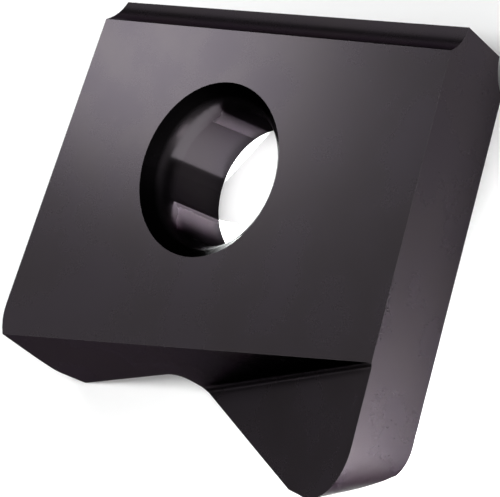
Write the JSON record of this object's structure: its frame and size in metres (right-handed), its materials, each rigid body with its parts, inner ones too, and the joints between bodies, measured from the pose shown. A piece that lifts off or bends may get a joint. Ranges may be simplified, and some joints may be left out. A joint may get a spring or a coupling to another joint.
{
  "type": "carbide insert",
  "caption": "Thin carbide insert with a countersunk screw bore, a grooved top edge, a ground gash with an inclined rake face, and a rounded cutting nose.",
  "frame": {"origin": "centre of the screw bore at the flat seat face", "axes": "+Z along the bore, from the seat face out of the countersunk working face; +Y from the bore to the grooved top edge; +X to the long side edge that ends in the nose"},
  "size_m": [0.0162, 0.0155, 0.0032],
  "materials": {
    "coated_carbide": "dark purplish-black hard coating, satin, over sintered carbide"
  },
  "bodies": {
    "root": {"insert": "coated_carbide"}
  },
  "joints": []
}
